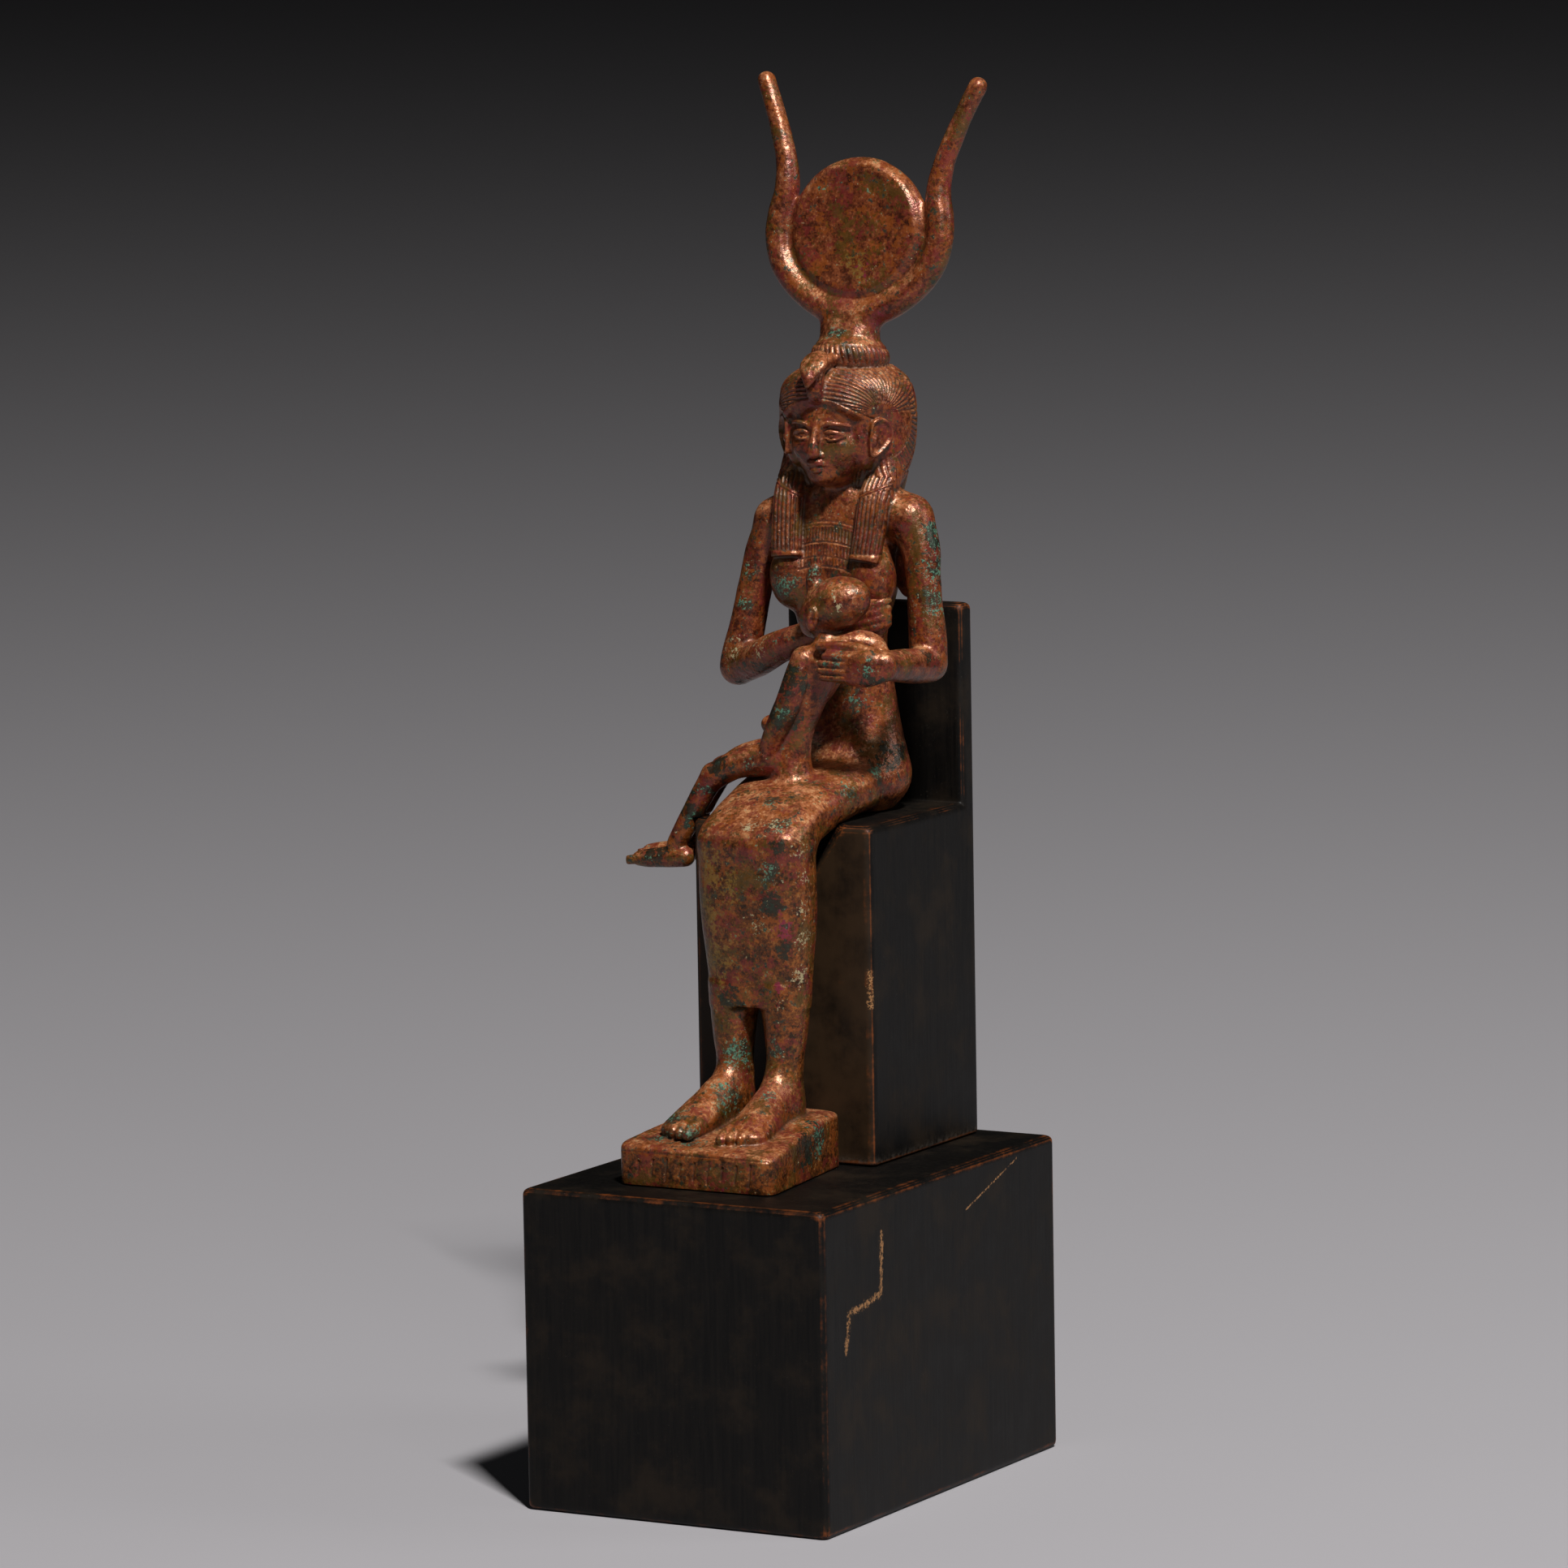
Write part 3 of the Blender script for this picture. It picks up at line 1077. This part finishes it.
def bronze_figure():
    """The whole casting, carved, with what its material reads marked at each point."""
    margin = np.array([3, 3, 1])
    casting = Casting(BRONZE_LOW - margin, BRONZE_HIGH + margin, BRONZE_VOXEL)
    for add in (add_legs, add_trunk, add_arms, add_wig, add_face, add_ears, add_cobra, add_crown, add_child,
                add_plinth):
        add(casting)
    cut_for_throne(casting)
    points, quads = casting.surface()
    label = casting.label_at(points)
    resting = (points[:, 2] < BRONZE_LOW[2] + 0.8) | (throne_distance(*points.T, REST_EDGE) < REST_GAP + 0.5)
    push = np.where(resting, 0, relief(points, label))
    points += normals_of(points, quads) * push[:, None]
    points = np.clip(points, BRONZE_LOW, BRONZE_HIGH)
    piece = mesh_piece("bronze_figure_surface", points, quads, BRONZE_TRIANGLES)
    found = points_of(piece)
    mark(piece, "groove", -relief(found, casting.label_at(found)) / 0.35)
    mark(piece, "hollow", -4 * hollowness(casting, found, 1.6))
    mark(piece, "crest", 2.5 * hollowness(casting, found, 1.2) - 0.3)
    mark(piece, "lower", smoothstep(196, 176, found[:, 2]))
    upward = np.empty(len(found) * 3)
    piece.data.vertices.foreach_get("normal", upward)
    mark(piece, "upward", smoothstep(0, 0.8, upward.reshape(-1, 3)[:, 2]))
    for name, spots in SPOTS.items():
        mark(piece, name, near_spots(found, spots))
    return piece


def wooden_block(name, low, high, distance):
    """A wooden piece from its distance formula, with its worn places marked for the material."""
    casting = Casting(low - 2, high + 2, WOOD_VOXEL)
    where, _ = casting.block(low - 2, high + 2)
    casting.field[where] = distance(*casting.axes(where))
    points, quads = casting.surface()
    piece = mesh_piece(name, np.clip(points, low, high), quads, WOOD_TRIANGLES)
    found = points_of(piece)
    _, y, z = found.T
    on_throne = z > BASE_HIGH[2]
    mark(piece, "crest", 2.8 * hollowness(casting, found, 2))
    mark(piece, "rubbed", smoothstep(THRONE_FRONT_Y + 1, THRONE_FRONT_Y, y) * on_throne)
    mark(piece, "foot", smoothstep(THRONE_LOW[2] + 3, THRONE_LOW[2], z) * on_throne)
    return piece


def base_distance(x, y, z):
    """The distance to the base block's surface."""
    centre = (BASE_LOW + BASE_HIGH) / 2
    half = (BASE_HIGH - BASE_LOW) / 2
    sides = smooth_max(np.abs(x - centre[0]) - half[0], np.abs(y - centre[1]) - half[1], WOOD_EDGE)
    return smooth_max(sides, np.abs(z - centre[2]) - half[2], WOOD_EDGE)


class Paint:
    """A material's nodes, with colours and patterns in the object's own millimetres."""

    def __init__(self, name):
        self.material = bpy.data.materials.new(name)
        self.material.use_nodes = True
        self.tree = self.material.node_tree
        self.shader = self.tree.nodes["Principled BSDF"]
        self.place = self.tree.nodes.new("ShaderNodeTexCoord").outputs["Object"]

    def node(self, kind, settings, inputs):
        """A new node with its settings, and its inputs linked or set."""
        made = self.tree.nodes.new("ShaderNode" + kind)
        for key, value in settings.items():
            setattr(made, key, value)
        for key, value in inputs.items():
            self.link(value, made.inputs[key])
        return made

    def link(self, value, socket):
        """Joins a node's output to an input, or sets the input to a value."""
        if isinstance(value, bpy.types.NodeSocket):
            self.tree.links.new(value, socket)
        else:
            socket.default_value = value

    def noise(self, size, detail=3, rough=0.55, shift=(0, 0, 0), stretch=(1, 1, 1), distortion=0):
        """Noise with features of about size millimetres."""
        where = self.node("Mapping", {}, {"Vector": self.place, "Location": shift, "Scale": stretch})
        return self.node("TexNoise", {}, {
            "Vector": where.outputs[0], "Scale": 1 / (size * MM), "Detail": detail, "Roughness": rough,
            "Distortion": distortion}).outputs["Fac"]

    def value(self, name):
        """A value that the mesh keeps at each point."""
        return self.node("Attribute", {"attribute_name": name}, {}).outputs["Fac"]

    def beside(self, start, end, radius):
        """1 on the line between two places in the object's millimetres, falling to 0 at a radius."""
        start, end = Vector(start) * MM, Vector(end) * MM
        run = end - start
        away = self.node("VectorMath", {"operation": "SUBTRACT"}, {0: self.place, 1: start}).outputs[0]
        share = self.node("VectorMath", {"operation": "DOT_PRODUCT"}, {0: away, 1: run / run.length_squared})
        share = self.math("MINIMUM", self.math("MAXIMUM", share.outputs["Value"], 0), 1)
        nearest = self.node("VectorMath", {"operation": "SCALE"}, {0: run, "Scale": share}).outputs[0]
        distance = self.node("VectorMath", {"operation": "DISTANCE"}, {0: away, 1: nearest}).outputs["Value"]
        return self.step(distance, radius * MM, 0)

    def math(self, operation, *values):
        """The result of one arithmetic operation on its values."""
        return self.node("Math", {"operation": operation}, dict(enumerate(values))).outputs[0]

    def step(self, value, low, high):
        """0 below low, 1 above high, and smooth between them."""
        return self.node("MapRange", {"interpolation_type": "SMOOTHSTEP"}, {
            "Value": value, "From Min": low, "From Max": high}).outputs[0]

    def total(self, *shares):
        """One half, and each pattern's share above or below one half times its weight."""
        found = 0.5
        for value, weight in shares:
            found = self.math("MULTIPLY_ADD", self.math("SUBTRACT", value, 0.5), weight, found)
        return found

    def ramp(self, value, stops):
        """A run of colours through stops of place and colour."""
        made = self.node("ValToRGB", {}, {"Fac": value})
        points = made.color_ramp.elements
        for _ in stops[2:]:
            points.new(0.5)
        for point, (position, colour) in zip(points, stops):
            point.position = position
            point.color = (*colour, 1)
        return made.outputs["Color"]

    def mix(self, share, a, b):
        """Colour a where share is 0, and b where it is 1."""
        a, b = ((*colour, 1) if isinstance(colour, tuple) else colour for colour in (a, b))
        made = self.node("Mix", {"data_type": "RGBA"}, {"Factor": share})
        self.link(a, made.inputs[6])
        self.link(b, made.inputs[7])
        return made.outputs[2]

    def cover(self, colour, share, strength, tint):
        """The colour, covered by a tint up to its strength where share is 1."""
        return self.mix(self.math("MULTIPLY", share, strength), colour, tint)

    def bump(self, height, distance, strength, below=None):
        """Fine bumps, up to distance millimetres high."""
        inputs = {"Height": height, "Distance": distance * MM, "Strength": strength}
        if below is not None:
            inputs["Normal"] = below
        return self.node("Bump", {}, inputs).outputs[0]

    def finished(self, **inputs):
        """The material, with its shader's inputs set."""
        for name, value in inputs.items():
            self.link(value, self.shader.inputs[name.replace("_", " ")])
        return self.material


def bronze_finish():
    """Red-brown bronze, wine on the upper body and more orange below, under green, pale and dark patches."""
    paint = Paint("bronze")
    broad = paint.noise(18, 3, 0.6)
    middle = paint.noise(5, 5, 0.62, (0.3, 0.1, 0))
    fine = paint.noise(1.5, 5, 0.65, (0, 0.2, 0.1))
    grain = paint.noise(0.9, 3, 0.6, (0.4, 0, 0.1))
    small = paint.noise(0.7, 4, 0.65, (0.9, 0.2, 0.4))
    mottle = paint.total((middle, 0.7), (fine, 0.8), (small, 0.5))
    upper = paint.ramp(mottle, [
        (0.36, (0.035, 0.007, 0.003)), (0.45, (0.085, 0.016, 0.005)), (0.55, (0.15, 0.031, 0.009)),
        (0.66, (0.26, 0.07, 0.02))])
    lower = paint.ramp(mottle, [
        (0.36, (0.02, 0.008, 0.002)), (0.45, (0.07, 0.02, 0.004)), (0.55, (0.14, 0.038, 0.006)),
        (0.66, (0.28, 0.1, 0.02))])
    rubbed = paint.ramp(mottle, [
        (0.36, (0.165, 0.048, 0.017)), (0.46, (0.33, 0.105, 0.04)), (0.55, (0.46, 0.17, 0.068)),
        (0.66, (0.63, 0.31, 0.14))])
    low_down = paint.step(paint.total((paint.value("lower"), 1), (broad, 1.6)), 0.3, 0.7)
    colour = paint.cover(paint.mix(low_down, upper, lower), paint.value("upward"), 0.92, rubbed)

    def clouds(size, shift, rim, rim_shift, weight):
        """Patches of about size millimetres, with their rims broken up by a finer pattern."""
        return paint.total((paint.noise(size, 4, 0.6, shift), 1),
                           (paint.noise(rim, 4, 0.6, rim_shift), weight))

    orange = clouds(6, (0.3, 0.7, 0.6), 1.3, (0.2, 0.5, 0), 0.8)
    wine = clouds(7, (0.7, 0.3, 0.2), 1.2, (0.7, 0, 0.2), 0.7)
    olive = clouds(8, (0.1, 0.8, 0.5), 1, (0.1, 0.8, 0), 0.7)
    for patches, low, high, strength, tint in (
            (orange, 0.53, 0.6, 0.6, (0.27, 0.066, 0.01)),
            (wine, 0.52, 0.6, 0.6, (0.16, 0.018, 0.017)),
            (olive, 0.54, 0.62, 0.7, (0.075, 0.045, 0.006))):
        colour = paint.cover(colour, paint.step(patches, low, high), strength, tint)

    def specks(colour, name, pattern, reach, tint, strength, level):
        """Specks of a tint, few all over and many where the named patches lie."""
        amount = paint.math("MULTIPLY_ADD", paint.value(name), reach, pattern)
        amount = paint.math("MULTIPLY", paint.step(amount, level, level + 0.07), strength)
        return paint.mix(amount, colour, tint), amount

    crusts = paint.total((fine, 1), (paint.noise(4, 3, 0.6, (0.2, 0.9, 0.1)), 0.8))
    for name, pattern, reach, tint, strength, level in (
            ("ochre", mottle, 0.2, (0.2, 0.115, 0.02), 0.7, 0.68),
            ("magenta", wine, 0.22, (0.2, 0.02, 0.045), 0.8, 0.72),
            ("dark", crusts, 0.3, (0.012, 0.015, 0.009), 0.92, 0.7),
            ("green", crusts, 0.16, (0.014, 0.03, 0.02), 0.8, 0.62)):
        colour, _ = specks(colour, name, pattern, reach, tint, strength, level)
    teal = paint.mix(paint.step(small, 0.42, 0.62), (0.008, 0.04, 0.03), (0.07, 0.19, 0.12))
    clumps = paint.total((small, 1), (fine, 0.6), (middle, 0.5))
    colour, green = specks(colour, "green", clumps, 0.18, teal, 0.9, 0.7)
    flakes = paint.total((paint.noise(0.9, 4, 0.7, (0.5, 0.5, 0.9)), 1), (fine, 0.5), (middle, -0.4))
    colour, flake = specks(colour, "flake", flakes, 0.17, (0.36, 0.31, 0.17), 0.85, 0.7)
    dirt = paint.math("MAXIMUM", paint.step(paint.value("groove"), 0.3, 1),
                      paint.step(paint.value("hollow"), 0.25, 1))
    colour = paint.cover(colour, dirt, 0.7, (0.022, 0.011, 0.005))
    colour = paint.cover(colour, paint.step(paint.value("crest"), 0.15, 0.8), 0.4, (0.3, 0.11, 0.04))
    crust = paint.math("MAXIMUM", green, flake)
    dull = paint.math("MAXIMUM", crust, dirt)
    rough = paint.math("MULTIPLY_ADD", fine, 0.3, 0.18)
    rough = paint.math("MULTIPLY_ADD", dull, 0.2, rough)
    metal = paint.math("MULTIPLY_ADD", dull, -0.3, 0.3)
    normal = paint.bump(grain, 0.14, 0.7)
    normal = paint.bump(paint.noise(2.6), 0.5, 0.7, normal)
    normal = paint.bump(crust, 0.12, 0.6, normal)
    return paint.finished(Base_Color=colour, Roughness=rough, Metallic=metal, Normal=normal, IOR=1.6,
                          Specular_Tint=(1, 0.88, 0.8, 1))


# Pale scrapes on the wood, in millimetres: the line that each follows and how far it reaches
SCRAPES = [
    ([(46.5, -34, 78), (46.5, -34.4, 68), (46.5, -35, 61.5), (46.5, -43, 60), (46.5, -52.5, 59),
      (46.5, -54.5, 49)], 2.6),
    ([(46.5, 44, 85.4), (46.5, 14, 76)], 0.8),
    ([(25.7, -0.3, 142), (25.7, -0.3, 133)], 2.6),
]


def wood_finish():
    """Near-black stained wood, worn orange-brown along its edges, with pale scrapes and a little dust."""
    paint = Paint("ebonised wood")
    grain = paint.noise(1, 5, 0.65, stretch=(1, 1, 0.05))
    mottle = paint.noise(16, 5, 0.65, (0.2, 0, 0))
    dust = paint.step(paint.noise(0.6, 4, 0.7, (0, 0.3, 0)), 0.64, 0.74)
    colour = paint.ramp(grain, [(0.35, (0.0006, 0.0005, 0.0004)), (0.65, (0.0038, 0.003, 0.0022))])
    colour = paint.cover(colour, paint.step(mottle, 0.45, 0.7), 0.6, (0.016, 0.01, 0.005))
    colour = paint.cover(colour, dust, 0.16, (0.2, 0.18, 0.15))
    colour = paint.cover(colour, paint.value("rubbed"), paint.step(mottle, 0.2, 0.6), (0.026, 0.014, 0.006))
    broken = paint.math("SUBTRACT", paint.noise(11, 5, 0.75), 0.5)
    edge = paint.math("MULTIPLY_ADD", broken, 1.5, paint.value("crest"))
    colour = paint.cover(colour, paint.step(edge, 0.36, 1), 0.9, (0.19, 0.05, 0.01))
    scratches = paint.noise(0.9, 5, 0.85, (0.6, 0.1, 0.9), distortion=0.3)
    for places, radius in SCRAPES:
        for start, end in zip(places, places[1:]):
            bared = paint.math("MULTIPLY_ADD", paint.beside(start, end, radius), 0.28, scratches)
            colour = paint.mix(paint.step(bared, 0.73, 0.79), colour, (0.3, 0.15, 0.06))
    dusty = paint.math("MULTIPLY", paint.value("foot"), paint.step(paint.noise(1.4, 5, 0.75), 0.35, 0.7))
    colour = paint.cover(colour, dusty, 0.3, (0.2, 0.17, 0.14))
    rough = paint.math("MULTIPLY_ADD", mottle, 0.25, 0.38)
    normal = paint.bump(grain, 0.08, 0.35)
    normal = paint.bump(paint.noise(22, 2, 0.5), 0.6, 0.3, normal)
    return paint.finished(Base_Color=colour, Roughness=rough, Normal=normal, IOR=1.3)


bronze_material = bronze_finish()
wood_material = wood_finish()
made = (
    (bronze_figure(), "bronze_figure", bronze_material, "bronze"),
    (wooden_block("wooden_throne_surface", THRONE_LOW, THRONE_HIGH, throne_distance),
     "wooden_throne", wood_material, "ebonised_wood"),
    (wooden_block("wooden_base_surface", BASE_LOW, BASE_HIGH, base_distance),
     "wooden_base", wood_material, "ebonised_wood"),
)
for piece, node, material, slot in made:
    piece.data.materials.append(material)
    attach(piece, "root")
    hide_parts(node)

# The room: one wide pale floor, with a very faint even light
FLOOR_REACH = 30
floor_corners = [(x * FLOOR_REACH, y * FLOOR_REACH, 0) for x, y in ((-1, -1), (1, -1), (1, 1), (-1, 1))]
floor_mesh = bpy.data.meshes.new("floor")
floor_mesh.from_pydata(floor_corners, [], [(0, 1, 2, 3)])
floor = bpy.data.objects.new("floor", floor_mesh)
bpy.context.scene.collection.objects.link(floor)
floor.data.materials.append(Paint("floor").finished(Base_Color=(0.36, 0.355, 0.375, 1), Roughness=0.85))

world = bpy.data.worlds.new("room")
world.use_nodes = True
background = world.node_tree.nodes["Background"]
background.inputs["Color"].default_value = (0.8, 0.8, 0.85, 1)
background.inputs["Strength"].default_value = 0.006
bpy.context.scene.world = world
bpy.context.scene.view_settings.view_transform = "Standard"

# The camera stands where the photograph was taken: angles, then places and sizes in millimetres
CAMERA_AZIMUTH = math.radians(29.4206)
CAMERA_ELEVATION = math.radians(7.4711)
CAMERA_ROLL = math.radians(-0.9626)
CAMERA_DISTANCE = 2265.7
TARGET_ASIDE = -0.298
TARGET_HEIGHT = 192.5
SENSOR = 36
LENS = 191.1

toward_camera = Vector((math.sin(CAMERA_AZIMUTH) * math.cos(CAMERA_ELEVATION),
                        -math.cos(CAMERA_AZIMUTH) * math.cos(CAMERA_ELEVATION), math.sin(CAMERA_ELEVATION)))
level_right = Vector((math.cos(CAMERA_AZIMUTH), math.sin(CAMERA_AZIMUTH), 0))
level_up = toward_camera.cross(level_right)
view_right = level_right * math.cos(CAMERA_ROLL) + level_up * math.sin(CAMERA_ROLL)
view_up = level_up * math.cos(CAMERA_ROLL) - level_right * math.sin(CAMERA_ROLL)
target = level_right * TARGET_ASIDE + Vector((0, 0, TARGET_HEIGHT))

camera_data = bpy.data.cameras.new("camera")
camera_data.lens = LENS
camera_data.sensor_width = SENSOR
camera_data.clip_end = 200
camera = bpy.data.objects.new("camera", camera_data)
turn = Matrix((view_right, view_up, toward_camera)).transposed().to_4x4()
camera.matrix_world = Matrix.Translation((target + toward_camera * CAMERA_DISTANCE) * MM) @ turn
bpy.context.scene.collection.objects.link(camera)
bpy.context.scene.camera = camera


def area_light(name, azimuth, elevation, distance, size, power, colour):
    """A square light aimed at the figure: degrees to the right of the camera and up, millimetres, watts."""
    turn = CAMERA_AZIMUTH + math.radians(azimuth)
    rise = math.radians(elevation)
    middle = Vector((0, 0, TARGET_HEIGHT))
    toward = Vector((math.sin(turn) * math.cos(rise), -math.cos(turn) * math.cos(rise), math.sin(rise)))
    data = bpy.data.lights.new(name, "AREA")
    data.size = size * MM
    data.energy = power
    data.color = colour
    lamp = bpy.data.objects.new(name, data)
    lamp.matrix_world = Matrix.Translation((middle + toward * distance) * MM) @ toward.to_track_quat(
        "Z", "Y").to_matrix().to_4x4()
    bpy.context.scene.collection.objects.link(lamp)


# A key light from high on the right, and three weak ones that open up the shadows
area_light("key", 17, 52, 3600, 360, 180, (1, 0.97, 0.95))
area_light("low", 20, 24, 2600, 300, 2, (1, 0.97, 0.95))
area_light("side", 80, 28, 1400, 500, 2.6, (1, 0.98, 0.97))
area_light("far side", -85, 35, 2000, 700, 0.7, (0.95, 0.97, 1))
